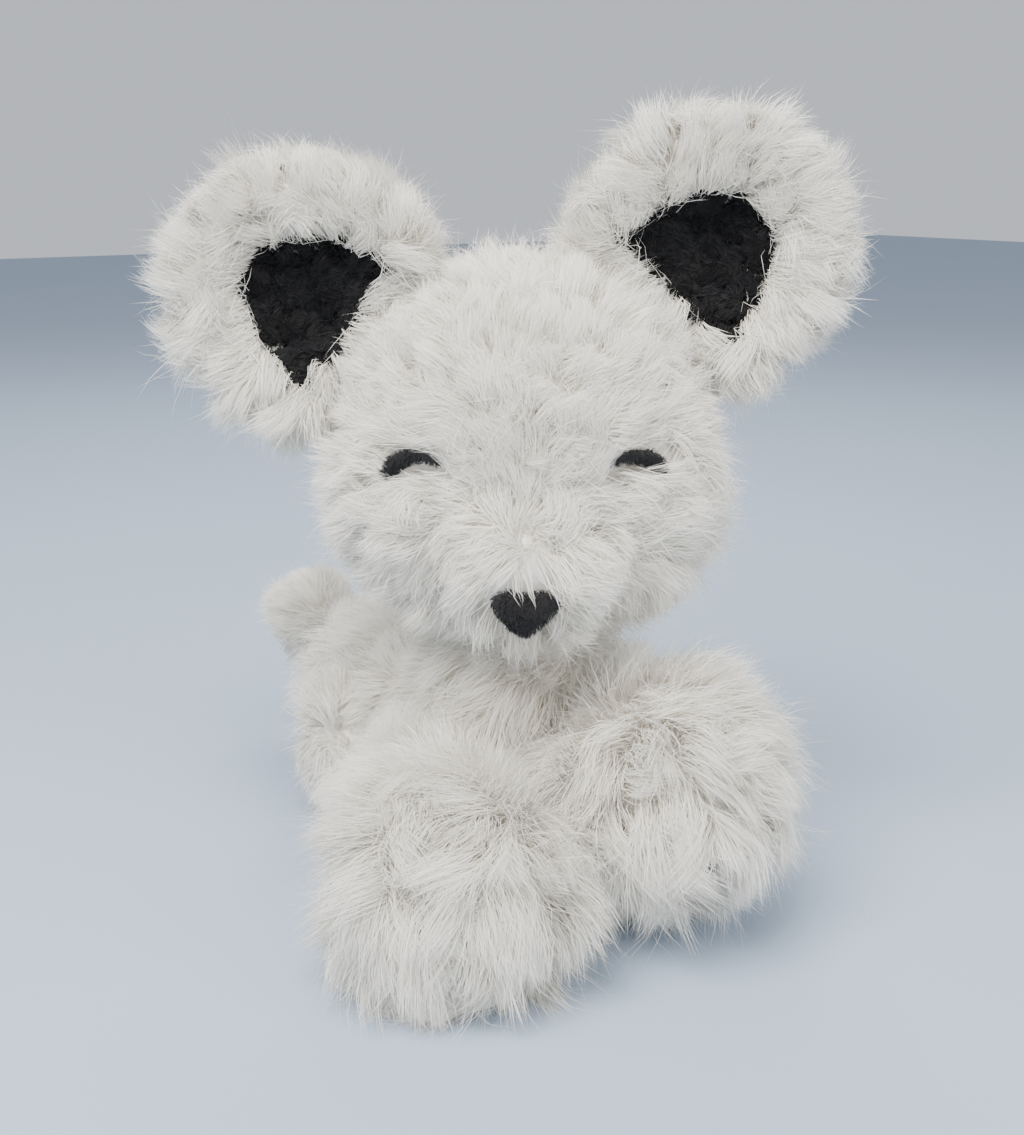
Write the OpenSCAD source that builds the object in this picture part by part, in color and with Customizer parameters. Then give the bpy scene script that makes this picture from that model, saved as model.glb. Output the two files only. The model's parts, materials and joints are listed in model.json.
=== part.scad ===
// Plush dog lying on its belly: fur-fabric covers over stuffing, with turning joints at the
// neck, the shoulders and the hips, ears that fold and a tail that wags.
// The dog lies along Y and faces -Y. The origin is the middle of its flat belly on the floor.

/* [Body] */
// Length of the body from chest to rump
body_length = 118; // [110:1:126]
// Radius of the body's round cross-section
body_radius = 30.5; // [29:0.5:33]
// Width of the body across its flat flanks, where the legs turn
body_width = 48; // [46:1:50]
// Height of the body's middle line above the floor
body_height = 28.5; // [27:0.5:29]
// Thickness of the fur fabric with its pile pressed to half height
fur_wall = 4; // [3:0.5:4]

/* [Head] */
// Height of the head's centre above the floor
head_height = 120; // [118:1:124]
// How far the head's centre lies ahead of the body's middle
head_forward = 42; // [40:1:44]
// Way the head looks at rest, away from straight ahead
head_look = -33; // [-60:1:60]
// Radius of the round skull
skull_radius = 46; // [44:0.5:48]
// Radius of each cheek
cheek_radius = 34; // [32:0.5:35]
// Radius of the muzzle
muzzle_radius = 20; // [18:0.5:21]
// Width of the gusset that runs from nose to nape
gusset_width = 30; // [24:1:36]
// Width of the nose
nose_width = 18; // [14:0.5:20]
// Width of each closed, arched eye
eye_width = 17; // [14:0.5:18]
// Radius of the round, full neck
neck_radius = 26; // [24:0.5:27]
// Height of the neck's centre above the floor
neck_height = 54; // [52:1:56]

/* [Ears] */
// Radius of each round ear
ear_radius = 29; // [26:1:31]
// Angle of the left ear from the top of the head
left_ear_angle = 44; // [40:1:60]
// Angle of the right ear from the top of the head
right_ear_angle = 56; // [40:1:60]
// Width of the black lining inside each ear, at its foot
lining_width = 37; // [30:1:38]

/* [Legs] */
// Radius of each front paw
paw_radius = 24; // [22:0.5:25]
// Radius of each hind foot
foot_radius = 10.5; // [10:0.5:11]
// Radius of each round shoulder
shoulder_radius = 15; // [14:0.5:16]
// Radius of each round thigh
thigh_radius = 19; // [17:0.5:20]
// Thickness of the fabric on legs, ears and tail
thin_wall = 3; // [2.5:0.5:3.5]
// Radius of each black pad on the soles
pad_radius = 7; // [5:0.5:8]

/* [Tail] */
// Radius of the round tip of the tail
tail_radius = 12.5; // [11:0.5:14]
// How far the tip's centre lies behind the tail's root
tail_reach = 21; // [19:1:23]

/* [Joints] */
// Radius of the neck joint's stem
neck_stem_radius = 3; // [2.5:0.5:4]
// Radius of each leg joint's stem
leg_stem_radius = 2.5; // [2:0.5:3]
// Radius of the neck joint's discs
neck_disc_radius = 11; // [9:0.5:11.5]
// Radius of the leg joints' discs
leg_disc_radius = 6; // [5:0.5:6]
// Thickness of each joint disc and washer
disc_thickness = 1.5; // [1:0.5:2]

/* [Hidden] */
$fn = 64;
BLACK = "#17171a";
FUR = "#ebe7de";
FILL = "#f6f4ef";
PLASTIC = "#d9d9d6";
THREAD = "#cfc8b8";

far = 200;
gap = 0.4;
running_gap = 0.05;
roundness = 2.5;
profile_steps = 22;
layer = 1.5;

neck_top = head_height - skull_radius + 2;
head_base = neck_top + gap - head_height;
belly_seam = 9;
lock_thickness = 2.5;
lock_extra = 2.5;
pocket_spare = 2;
joint_pocket = disc_thickness + gap + lock_thickness + pocket_spare;
stem_spare = 1;
flank = body_width / 2;

cheek_place = [15, -8, -10];
muzzle_place = [0, -37, -22];
nose_height = -31;
nose_corner = 2.5;
nose_top = 2;
nose_point = -3.5;
eye_out = 27;
eye_height = 2.5;
eye_band = 3.4;
chin_height = -26;

ear_root_radius = 5;
ear_root_length = 46;
ear_root_reach = skull_radius + 3.5;
ear_back_shift = 4;
ear_centre = 19;
ear_foot = 27;
ear_front_foot = 3;
ear_bowl = 60;
ear_layer = 4.5;
lining_sink = 1.5;
lining_low = 9.5;
lining_high = 29;
lining_tip = 6;
lining_corner = 3.5;

back_seam = [for (i = [0 : 6]) 12 + 5 * i];
stitch_radius = 0.5;
stitch_length = 4;
stitch_depth = 1.6;

tail_root = [0, body_length / 2 + 2.5, 38];
tail_root_radius = 6.5;
tail_root_height = 16;
tail_neck_radius = 6;
tail_swing = 13;
tail_lift = 4;

// Each leg: side, joint's y and z; hub's radius, half thickness and middle outward of the flank;
// calf's radii and centres; toe's radius and centre; the way its pad looks; and how far ahead of
// the chest it first comes inward. Centres are from the joint, outward, along y and up.
front_left = [1, -34, body_height, shoulder_radius, 12.5, 5,
    [[17, [6.5, -19, 4]], [18, [-3, -39, 8]]], paw_radius, [-14, -58, 10.5], [-0.1, -0.55, -0.8], 8.5];
front_right = [-1, -36, body_height, shoulder_radius, 12.5, 5,
    [[17, [14, -24, -2.75]]], paw_radius, [23, -48, -5.5], [0, 0, -1], 2];
hind_left = [1, 9, 25, thigh_radius, 10, 4.5,
    [[11, [5.875, -13.75, -8.5]]], foot_radius, [7, -25, -15.5], [0, 0, -1], 3];
hind_right = [-1, 9, 25, thigh_radius, 10, 4.5,
    [[11, [5.875, -13.75, -8.5]]], foot_radius, [7, -25, -15.5], [0, 0, -1], 3];
LEGS = [front_left, front_right, hind_left, hind_right];
pad_margin = 4;

// ---- Shared shapes ----

// Half outline of a rounded barrel: length 2 * half_length, greatest radius r.
function barrel_outline(half_length, r) = [
    for (i = [0 : profile_steps])
        let (a = -90 + 180 * i / profile_steps)
        [r * pow(cos(a), 2 / roundness),
         half_length * sign(a) * pow(abs(sin(a)), 2 / roundness)]
];

module box_between(low, high) {
    translate(low) cube(high - low);
}

// Everything above a height.
module above(height) {
    box_between([-far, -far, height], [far, far, far]);
}

// A rod from one point to another.
module rod(from, to, r) {
    run = to - from;
    length = norm(run);
    translate(from)
        rotate([0, acos(run.z / length), atan2(run.y, run.x)])
            cylinder(r = r, h = length);
}

// A disc or stem that lies along X, from one x to another.
module along_x(from, to, r) {
    translate([from, 0, 0]) rotate([0, 90, 0]) cylinder(r = r, h = to - from);
}

// ---- Body ----

// The body's barrel with flat flanks and belly, and its neck, all taken in by a wall.
module body_form(inset) {
    intersection() {
        translate([0, 0, body_height])
            rotate([-90, 0, 0])
                rotate_extrude()
                    polygon(barrel_outline(body_length / 2 - inset, body_radius - inset));
        box_between([inset - flank, -far, inset], [flank - inset, far, far]);
    }
    intersection() {
        translate([0, -head_forward, neck_height]) sphere(r = neck_radius - inset);
        box_between([inset - flank, -far, inset], [flank - inset, far, neck_top - inset]);
    }
}

module back_stitches() {
    for (y = back_seam)
        translate([0, y, body_height + stitch_line(y)])
            along_x(-stitch_length / 2, stitch_length / 2, stitch_radius);
}

// Height of the back seam's stitches over the body's middle line, at a place along it.
function stitch_line(y) =
    body_radius * pow(1 - pow(y / (body_length / 2), roundness), 1 / roundness) - stitch_depth;

module body_shell() {
    difference() {
        body_form(0);
        body_form(fur_wall);
        translate([0, -head_forward, body_height])
            cylinder(r = neck_stem_radius + gap, h = far);
        for (leg = LEGS)
            leg_place(leg) along_x(-flank, far, leg_stem_radius + gap);
        translate([tail_root.x, tail_root.y, tail_root.z - tail_root_height / 2 - gap])
            cylinder(r = tail_root_radius + gap, h = tail_root_height + 2 * gap);
    }
}

module body_side(side) {
    color(FUR)
        difference() {
            intersection() {
                body_shell();
                box_between([side > 0 ? 0 : -far, -far, belly_seam], [side > 0 ? far : 0, far, far]);
            }
            back_stitches();
        }
}

module belly_panel() {
    color(FUR)
        intersection() {
            body_shell();
            box_between([-far, -far, 0], [far, far, belly_seam]);
        }
}

module body_stuffing() {
    color(FILL)
        difference() {
            body_form(fur_wall);
            translate([0, -head_forward, neck_top - fur_wall - joint_pocket])
                cylinder(r = neck_disc_radius + gap, h = joint_pocket);
            for (leg = LEGS)
                leg_place(leg)
                    along_x(-fur_wall - joint_pocket, -fur_wall, leg_disc_radius + gap);
        }
}

module closing_stitches() {
    color(THREAD) back_stitches();
}

module neck_washer() {
    color(PLASTIC)
        translate([0, -head_forward, neck_top - fur_wall - disc_thickness])
            difference() {
                cylinder(r = neck_disc_radius, h = disc_thickness);
                translate([0, 0, -1])
                    cylinder(r = neck_stem_radius + running_gap, h = disc_thickness + 2);
            }
}

module leg_washers() {
    color(PLASTIC)
        for (leg = LEGS)
            leg_place(leg)
                difference() {
                    along_x(-fur_wall - disc_thickness, -fur_wall, leg_disc_radius);
                    along_x(-fur_wall - disc_thickness - 1, 0, leg_stem_radius + running_gap);
                }
}

// ---- Head, in its own frame: centre of the skull, facing -Y ----

module head_place() {
    translate([0, -head_forward, head_height]) rotate([0, 0, head_look]) children();
}

module head_form(inset) {
    intersection() {
        union() {
            sphere(r = skull_radius - inset);
            for (side = [-1, 1])
                translate([side * cheek_place.x, cheek_place.y, cheek_place.z])
                    sphere(r = cheek_radius - inset);
            translate(muzzle_place) sphere(r = muzzle_radius - inset);
        }
        above(head_base + inset);
    }
}

module head_shell() {
    difference() {
        head_form(0);
        head_form(fur_wall);
        translate([0, 0, -far]) cylinder(r = neck_stem_radius, h = far);
        for (ear = [[1, left_ear_angle], [-1, right_ear_angle]])
            ear_place(ear[0], ear[1])
                along_x(-ear_root_length / 2 - gap, ear_root_length / 2 + gap, ear_root_radius + gap);
    }
}

module head_gusset() {
    color(FUR) head_place()
        intersection() {
            head_shell();
            union() {
                box_between([-gusset_width / 2, -far, chin_height], [gusset_width / 2, 0, far]);
                box_between([-gusset_width / 2, 0, -far], [gusset_width / 2, far, far]);
            }
        }
}

module head_side(side) {
    inner = side > 0 ? gusset_width / 2 : -far;
    outer = side > 0 ? far : -gusset_width / 2;
    color(FUR) head_place()
        intersection() {
            head_shell();
            union() {
                box_between([inner, -far, chin_height], [outer, 0, far]);
                box_between([inner, 0, -far], [outer, far, far]);
            }
        }
}

module chin_panel() {
    color(FUR) head_place()
        intersection() {
            head_shell();
            box_between([-far, -far, -far], [far, 0, chin_height]);
        }
}

module head_stuffing() {
    color(FILL) head_place()
        difference() {
            head_form(fur_wall);
            translate([0, 0, head_base]) cylinder(r = neck_disc_radius, h = fur_wall + disc_thickness);
        }
}

// A rounded triangle with its point down.
module nose_outline() {
    hull() {
        for (side = [-1, 1])
            translate([side * (nose_width / 2 - nose_corner), nose_top])
                circle(r = nose_corner, $fn = 32);
        translate([0, nose_point]) circle(r = nose_corner, $fn = 32);
    }
}

module nose() {
    color(BLACK) head_place()
        difference() {
            intersection() {
                translate([0, 0, nose_height])
                    rotate([90, 0, 0])
                        linear_extrude(far) nose_outline();
                translate(muzzle_place) sphere(r = muzzle_radius + layer);
            }
            head_form(0);
        }
}

// The upper part of a round band, as an arch open below.
module eye_outline() {
    difference() {
        circle(r = eye_width / 2);
        translate([0, -eye_band]) circle(r = eye_width / 2);
        translate([-far, 1 - 2 * far]) square(2 * far);
    }
}

// A closed eye: an arch of black felt laid on the cheek.
module eye(side) {
    color(BLACK) head_place()
        difference() {
            intersection() {
                translate([side * eye_out, 0, eye_height])
                    rotate([90, 0, 0])
                        linear_extrude(far) eye_outline();
                head_form(-layer);
            }
            head_form(0);
        }
}

module neck_joint_disc() {
    stem_end = neck_top - fur_wall - joint_pocket + stem_spare - head_height;
    disc_low = head_base + fur_wall;
    color(PLASTIC) head_place() {
        translate([0, 0, disc_low]) cylinder(r = neck_disc_radius, h = disc_thickness);
        translate([0, 0, stem_end]) cylinder(r = neck_stem_radius, h = disc_low - stem_end);
    }
}

module neck_lock_ring() {
    top = neck_top - fur_wall - disc_thickness - gap - head_height;
    color(PLASTIC) head_place()
        translate([0, 0, top - lock_thickness])
            difference() {
                cylinder(r = neck_stem_radius + lock_extra, h = lock_thickness);
                translate([0, 0, -1]) cylinder(r = neck_stem_radius, h = lock_thickness + 2);
            }
}

// ---- Ears, in their own frame: on the fold line, standing up along +Z, facing -Y ----

module ear_place(side, angle) {
    translate([0, ear_back_shift, 0])
        rotate([0, side * angle, 0])
            translate([0, 0, ear_root_reach])
                children();
}

// A round top on a wide foot.
module ear_outline() {
    hull() {
        translate([0, ear_centre]) circle(r = ear_radius, $fn = 64);
        translate([-ear_foot, 0]) square([2 * ear_foot, 1]);
    }
}

// One curved layer of the ear, between two depths from its back surface, above a height.
module ear_dish(near_back, near_front, foot) {
    intersection() {
        difference() {
            translate([0, -ear_bowl, ear_centre]) sphere(r = ear_bowl + ear_layer - near_back);
            translate([0, -ear_bowl, ear_centre]) sphere(r = ear_bowl + ear_layer - near_front);
        }
        translate([0, far / 2, 0]) rotate([90, 0, 0]) linear_extrude(far) ear_outline();
        above(foot);
    }
}

// The lining's outline, carried right through the ear.
module lining_space() {
    translate([0, ear_bowl, 0])
        rotate([90, 0, 0])
            linear_extrude(far)
                hull() {
                    translate([0, lining_high]) circle(r = lining_tip, $fn = 32);
                    for (side = [-1, 1])
                        translate([side * (lining_width / 2 - lining_corner), lining_low])
                            circle(r = lining_corner, $fn = 32);
                }
}

module ear_back(side, angle) {
    color(FUR) head_place() ear_place(side, angle) {
        difference() {
            ear_dish(0, ear_layer, 0);
            along_x(-ear_root_length / 2, ear_root_length / 2, ear_root_radius);
        }
        along_x(-ear_root_length / 2, ear_root_length / 2, ear_root_radius);
    }
}

module ear_front(side, angle) {
    color(FUR) head_place() ear_place(side, angle)
        difference() {
            ear_dish(ear_layer, 2 * ear_layer, ear_front_foot);
            along_x(-far, far, ear_root_radius);
            lining_space();
        }
}

module ear_lining(side, angle) {
    color(BLACK) head_place() ear_place(side, angle)
        intersection() {
            ear_dish(ear_layer, 2 * ear_layer - lining_sink, ear_front_foot);
            lining_space();
        }
}

// ---- Legs, in their own frame: on the joint's axis at the flank, outward along +X ----

function side_of(leg) = leg[0];
function joint_y(leg) = leg[1];
function joint_z(leg) = leg[2];
function hub_radius(leg) = leg[3];
function hub_half(leg) = leg[4];
function hub_middle(leg) = [leg[5], 0, 0];
function calf(leg) = leg[6];
function toe_radius(leg) = leg[7];
function toe(leg) = leg[8];
function pad_look(leg) = leg[9] / norm(leg[9]);

module leg_place(leg) {
    translate([side_of(leg) * flank, joint_y(leg), joint_z(leg)])
        mirror([side_of(leg) > 0 ? 0 : 1, 0, 0])
            children();
}

// The round hub, calf and toe, clear of the body's flank and flat on the floor, all taken in by
// a wall.
module leg_form(leg, inset) {
    difference() {
        union() {
            translate(hub_middle(leg))
                rotate([0, 90, 0])
                    rotate_extrude()
                        polygon(barrel_outline(hub_half(leg) - inset, hub_radius(leg) - inset));
            for (ball = calf(leg))
                translate(ball[1]) sphere(r = ball[0] - inset);
            translate(toe(leg)) sphere(r = toe_radius(leg) - inset);
        }
        box_between([-far, -chest_reach(leg), -far], [gap + inset, far, far]);
        box_between([-far, -far, -far], [far, far, inset - joint_z(leg)]);
    }
}

// How far ahead of the joint the body still lies beside the leg.
function chest_reach(leg) = body_length / 2 + joint_y(leg) + leg[10];

// How much of the toe's sphere the floor takes off.
function sole_cut(leg) = max(0, toe_radius(leg) - joint_z(leg) - toe(leg).z);

// The space that the sole's pad fills, just under the sole's surface.
module pad_space(leg) {
    intersection() {
        difference() {
            translate(toe(leg)) sphere(r = toe_radius(leg));
            translate(toe(leg)) sphere(r = toe_radius(leg) - layer - sole_cut(leg));
        }
        rod(toe(leg), toe(leg) + pad_look(leg) * far, min(pad_radius, toe_radius(leg) - pad_margin));
        box_between([-far, -far, -joint_z(leg)], [far, far, far]);
    }
}

module leg_cover(leg) {
    color(FUR) leg_place(leg)
        difference() {
            leg_form(leg, 0);
            leg_form(leg, thin_wall);
            along_x(-1, gap + thin_wall + 1, leg_stem_radius);
            pad_space(leg);
        }
}

module leg_stuffing(leg) {
    color(FILL) leg_place(leg)
        difference() {
            leg_form(leg, thin_wall);
            along_x(0, gap + thin_wall + disc_thickness, leg_disc_radius);
            pad_space(leg);
        }
}

module paw_pad(leg) {
    color(BLACK) leg_place(leg) pad_space(leg);
}

module leg_joint_disc(leg) {
    disc_at = gap + thin_wall;
    color(PLASTIC) leg_place(leg) {
        along_x(disc_at, disc_at + disc_thickness, leg_disc_radius);
        along_x(-fur_wall - joint_pocket + stem_spare, disc_at, leg_stem_radius);
    }
}

module leg_lock_ring(leg) {
    start = -fur_wall - disc_thickness - gap;
    color(PLASTIC) leg_place(leg)
        difference() {
            along_x(start - lock_thickness, start, leg_stem_radius + lock_extra);
            along_x(start - lock_thickness - 1, start + 1, leg_stem_radius);
        }
}

// ---- Tail, in its own frame: on the upright fold line at the rump ----

module tail_place() {
    translate(tail_root) rotate([0, 0, tail_swing]) children();
}

module tail_form(inset) {
    tip = [0, tail_reach, tail_lift];
    translate([0, 0, inset - tail_root_height / 2])
        cylinder(r = tail_root_radius - inset, h = tail_root_height - 2 * inset);
    rod([0, 0, 0], tip, tail_neck_radius - inset);
    translate(tip) sphere(r = tail_radius - inset);
}

module tail_cover() {
    color(FUR) tail_place()
        difference() {
            tail_form(0);
            tail_form(thin_wall);
        }
}

module tail_stuffing() {
    color(FILL) tail_place() tail_form(thin_wall);
}

body_side(1);  // body_panel_left
body_side(-1);  // body_panel_right
belly_panel();
body_stuffing();
closing_stitches();
neck_washer();
leg_washers();
head_gusset();
head_side(1);  // head_side_left
head_side(-1);  // head_side_right
chin_panel();
head_stuffing();
nose();
eye(1);  // left_eye
eye(-1);  // right_eye
neck_joint_disc();
neck_lock_ring();
ear_back(1, left_ear_angle);  // left_ear_back
ear_front(1, left_ear_angle);  // left_ear_front
ear_lining(1, left_ear_angle);  // left_ear_lining
ear_back(-1, right_ear_angle);  // right_ear_back
ear_front(-1, right_ear_angle);  // right_ear_front
ear_lining(-1, right_ear_angle);  // right_ear_lining
leg_cover(front_left);  // front_left_leg_cover
leg_stuffing(front_left);  // front_left_leg_stuffing
paw_pad(front_left);  // front_left_paw_pad
leg_joint_disc(front_left);  // front_left_joint_disc
leg_lock_ring(front_left);  // front_left_lock_ring
leg_cover(front_right);  // front_right_leg_cover
leg_stuffing(front_right);  // front_right_leg_stuffing
paw_pad(front_right);  // front_right_paw_pad
leg_joint_disc(front_right);  // front_right_joint_disc
leg_lock_ring(front_right);  // front_right_lock_ring
leg_cover(hind_left);  // hind_left_leg_cover
leg_stuffing(hind_left);  // hind_left_leg_stuffing
paw_pad(hind_left);  // hind_left_paw_pad
leg_joint_disc(hind_left);  // hind_left_joint_disc
leg_lock_ring(hind_left);  // hind_left_lock_ring
leg_cover(hind_right);  // hind_right_leg_cover
leg_stuffing(hind_right);  // hind_right_leg_stuffing
paw_pad(hind_right);  // hind_right_paw_pad
leg_joint_disc(hind_right);  // hind_right_joint_disc
leg_lock_ring(hind_right);  // hind_right_lock_ring
tail_cover();
tail_stuffing();
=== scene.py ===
"""A fluffy white plush dog lying on its belly, in long-piled fur fabric.

Each padded cover starts from the shape of its stuffing, is blown up as cloth under pressure and
then carries its pile: thin tapered fibres, brushed away from whorls and gathered into tufts.
Lengths are in metres. The dog's long axis is Y, it faces -Y, and +Z is up.
"""

import json
import logging
import math
from dataclasses import dataclass, field
from enum import Enum
from typing import Any, Callable, Sequence

import bpy
import numpy as np
from mathutils import Matrix, Vector

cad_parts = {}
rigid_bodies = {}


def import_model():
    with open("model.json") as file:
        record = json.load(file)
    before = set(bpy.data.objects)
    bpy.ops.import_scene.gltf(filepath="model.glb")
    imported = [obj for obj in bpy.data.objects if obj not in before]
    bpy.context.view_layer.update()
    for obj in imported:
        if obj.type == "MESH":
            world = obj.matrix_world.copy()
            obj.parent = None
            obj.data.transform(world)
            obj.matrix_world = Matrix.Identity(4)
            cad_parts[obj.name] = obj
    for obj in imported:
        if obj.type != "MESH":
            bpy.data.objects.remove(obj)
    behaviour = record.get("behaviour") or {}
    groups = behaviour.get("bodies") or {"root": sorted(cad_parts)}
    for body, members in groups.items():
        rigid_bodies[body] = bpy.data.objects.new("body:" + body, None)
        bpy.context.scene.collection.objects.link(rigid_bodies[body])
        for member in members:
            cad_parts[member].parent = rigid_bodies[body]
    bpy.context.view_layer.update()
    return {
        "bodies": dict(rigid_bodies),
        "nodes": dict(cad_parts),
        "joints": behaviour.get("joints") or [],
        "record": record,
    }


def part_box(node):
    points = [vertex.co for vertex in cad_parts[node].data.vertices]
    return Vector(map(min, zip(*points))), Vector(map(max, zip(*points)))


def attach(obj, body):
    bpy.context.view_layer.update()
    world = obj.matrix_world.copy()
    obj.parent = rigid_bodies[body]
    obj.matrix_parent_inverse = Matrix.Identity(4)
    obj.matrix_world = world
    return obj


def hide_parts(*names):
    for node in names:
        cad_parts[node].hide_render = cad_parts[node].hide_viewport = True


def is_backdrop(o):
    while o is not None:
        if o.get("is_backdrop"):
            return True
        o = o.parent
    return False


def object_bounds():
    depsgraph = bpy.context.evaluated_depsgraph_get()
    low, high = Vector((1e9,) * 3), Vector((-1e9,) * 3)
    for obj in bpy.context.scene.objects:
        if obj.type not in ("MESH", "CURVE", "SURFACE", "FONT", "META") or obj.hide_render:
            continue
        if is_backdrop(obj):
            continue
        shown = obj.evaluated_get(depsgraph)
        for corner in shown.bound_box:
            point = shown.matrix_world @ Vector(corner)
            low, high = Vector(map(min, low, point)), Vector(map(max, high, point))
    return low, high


LOG = logging.getLogger("plush_dog")
MM = 0.001
Array = np.ndarray
SPARE_SHARE = 0.028
SPARE_MARGIN = 9.5 * MM
FLOOR_GAP = 0.3 * MM


# ---- Finishes ----


class Slot(Enum):
    """The part's named finishes."""

    FUR = "white_fur"
    PLUSH = "black_plush"
    FELT = "black_felt"
    FILLING = "stuffing"
    PLASTIC = "joint_plastic"
    THREAD = "thread"


def new_material(name: str) -> tuple[Any, Any, Any]:
    """Starts a node material.

    Args:
        name: the material's name.

    Returns:
        The material, its node tree and its shader node.
    """
    material = bpy.data.materials.new(name)
    material.use_nodes = True
    tree = material.node_tree
    return material, tree, tree.nodes["Principled BSDF"]


def add_noise(tree: Any, scale: float, detail: float, roughness: float = 0.5) -> Any:
    """Adds a noise texture that reads Object coordinates.

    Args:
        tree: the material's node tree.
        scale: how many swells there are in a metre.
        detail: octaves of noise.
        roughness: how much the finer octaves count.

    Returns:
        The noise node.
    """
    place = tree.nodes.new("ShaderNodeTexCoord")
    noise = tree.nodes.new("ShaderNodeTexNoise")
    noise.inputs["Scale"].default_value = scale
    noise.inputs["Detail"].default_value = detail
    noise.inputs["Roughness"].default_value = roughness
    tree.links.new(place.outputs["Object"], noise.inputs["Vector"])
    return noise


def add_ramp(tree: Any, source: Any, stops: Sequence[tuple[float, Sequence[float]]]) -> Any:
    """Turns a value into a colour.

    Args:
        tree: the material's node tree.
        source: the socket with the value.
        stops: places from 0 to 1 with the colour at each.

    Returns:
        The ramp's colour socket.
    """
    ramp = tree.nodes.new("ShaderNodeValToRGB")
    ramp.color_ramp.elements[0].position = stops[0][0]
    ramp.color_ramp.elements[0].color = (*stops[0][1], 1)
    ramp.color_ramp.elements[1].position = stops[-1][0]
    ramp.color_ramp.elements[1].color = (*stops[-1][1], 1)
    for position, colour in stops[1:-1]:
        ramp.color_ramp.elements.new(position).color = (*colour, 1)
    tree.links.new(source, ramp.inputs["Fac"])
    return ramp.outputs["Color"]


def add_bump(tree: Any, shader: Any, height: Any, strength: float, distance: float) -> None:
    """Roughens a shader's surface by a height.

    Args:
        tree: the material's node tree.
        shader: the shader node.
        height: the socket with the height.
        strength: how strong the bump is.
        distance: how high the bump is, in metres.
    """
    bump = tree.nodes.new("ShaderNodeBump")
    bump.inputs["Strength"].default_value = strength
    bump.inputs["Distance"].default_value = distance
    tree.links.new(height, bump.inputs["Height"])
    tree.links.new(bump.outputs["Normal"], shader.inputs["Normal"])


@dataclass(frozen=True)
class PileFinish:
    """Fibres whose colour changes from root to tip and a little from tuft to tuft."""

    name: str
    root: tuple[float, float, float]
    tip: tuple[float, float, float]
    roughness: float
    gloss: float
    sheen: float
    glow: float = 0.0

    def make(self) -> Any:
        """Builds the material.

        Returns:
            The material.
        """
        material, tree, shader = new_material(self.name)
        along = tree.nodes.new("ShaderNodeAttribute")
        along.attribute_name = "along"
        colour = add_ramp(tree, along.outputs["Fac"], ((0.0, self.root), (0.75, self.tip)))
        tint = tree.nodes.new("ShaderNodeAttribute")
        tint.attribute_name = "tint"
        mix = tree.nodes.new("ShaderNodeMix")
        mix.data_type = "RGBA"
        mix.blend_type = "MULTIPLY"
        mix.inputs["Factor"].default_value = 1.0
        tree.links.new(colour, mix.inputs["A"])
        tree.links.new(tint.outputs["Color"], mix.inputs["B"])
        tree.links.new(mix.outputs["Result"], shader.inputs["Base Color"])
        if self.glow > 0:
            through = tree.nodes.new("ShaderNodeBsdfTranslucent")
            tree.links.new(mix.outputs["Result"], through.inputs["Color"])
            both = tree.nodes.new("ShaderNodeMixShader")
            both.inputs["Fac"].default_value = self.glow
            tree.links.new(shader.outputs["BSDF"], both.inputs[1])
            tree.links.new(through.outputs["BSDF"], both.inputs[2])
            end = tree.nodes["Material Output"]
            tree.links.new(both.outputs["Shader"], end.inputs["Surface"])
        shader.inputs["Roughness"].default_value = self.roughness
        shader.inputs["Specular IOR Level"].default_value = self.gloss
        shader.inputs["Sheen Weight"].default_value = self.sheen
        shader.inputs["Sheen Roughness"].default_value = 0.5
        return material


@dataclass(frozen=True)
class ClothFinish:
    """Matt fabric with a fine fuzzy or knitted surface."""

    name: str
    dark: tuple[float, float, float]
    light: tuple[float, float, float]
    scale: float
    depth: float
    sheen: float
    roughness: float = 0.9

    def make(self) -> Any:
        """Builds the material.

        Returns:
            The material.
        """
        material, tree, shader = new_material(self.name)
        noise = add_noise(tree, self.scale, 4.0, 0.6)
        colour = add_ramp(tree, noise.outputs["Fac"], ((0.3, self.dark), (0.7, self.light)))
        tree.links.new(colour, shader.inputs["Base Color"])
        add_bump(tree, shader, noise.outputs["Fac"], 0.8, self.depth)
        shader.inputs["Roughness"].default_value = self.roughness
        shader.inputs["Specular IOR Level"].default_value = 0.2
        shader.inputs["Sheen Weight"].default_value = self.sheen
        shader.inputs["Sheen Roughness"].default_value = 0.6
        return material


@dataclass(frozen=True)
class PlasticFinish:
    """Plain moulded plastic with a faintly grained surface."""

    name: str
    colour: tuple[float, float, float]

    def make(self) -> Any:
        """Builds the material.

        Returns:
            The material.
        """
        material, tree, shader = new_material(self.name)
        noise = add_noise(tree, 900.0, 3.0)
        darker = tuple(0.93 * c for c in self.colour)
        colour = add_ramp(tree, noise.outputs["Fac"], ((0.3, darker), (0.7, self.colour)))
        tree.links.new(colour, shader.inputs["Base Color"])
        add_bump(tree, shader, noise.outputs["Fac"], 0.2, 0.05 * MM)
        shader.inputs["Roughness"].default_value = 0.45
        return material


WHITE_PILE = PileFinish(
    "white pile",
    (0.89, 0.85, 0.77),
    (0.965, 0.945, 0.89),
    roughness=0.6,
    gloss=0.25,
    sheen=0.2,
    glow=0.35,
)
BLACK_PILE = PileFinish(
    "black pile", (0.004, 0.004, 0.005), (0.016, 0.016, 0.018), roughness=0.75, gloss=0.2, sheen=0.05
)
BACKING = ClothFinish(
    "fur backing", (0.86, 0.83, 0.78), (0.93, 0.91, 0.87), scale=1400, depth=0.15 * MM, sheen=0.2
)
BLACK_FELT = ClothFinish(
    "black felt", (0.003, 0.003, 0.004), (0.014, 0.014, 0.016), scale=2200, depth=0.35 * MM, sheen=0.12
)
FILLING = ClothFinish(
    "loose filling", (0.82, 0.81, 0.78), (0.9, 0.89, 0.86), scale=300, depth=1.0 * MM, sheen=0.1
)
THREAD = ClothFinish(
    "seam thread", (0.6, 0.57, 0.5), (0.78, 0.75, 0.68), scale=3000, depth=0.1 * MM, sheen=0.1
)
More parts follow.
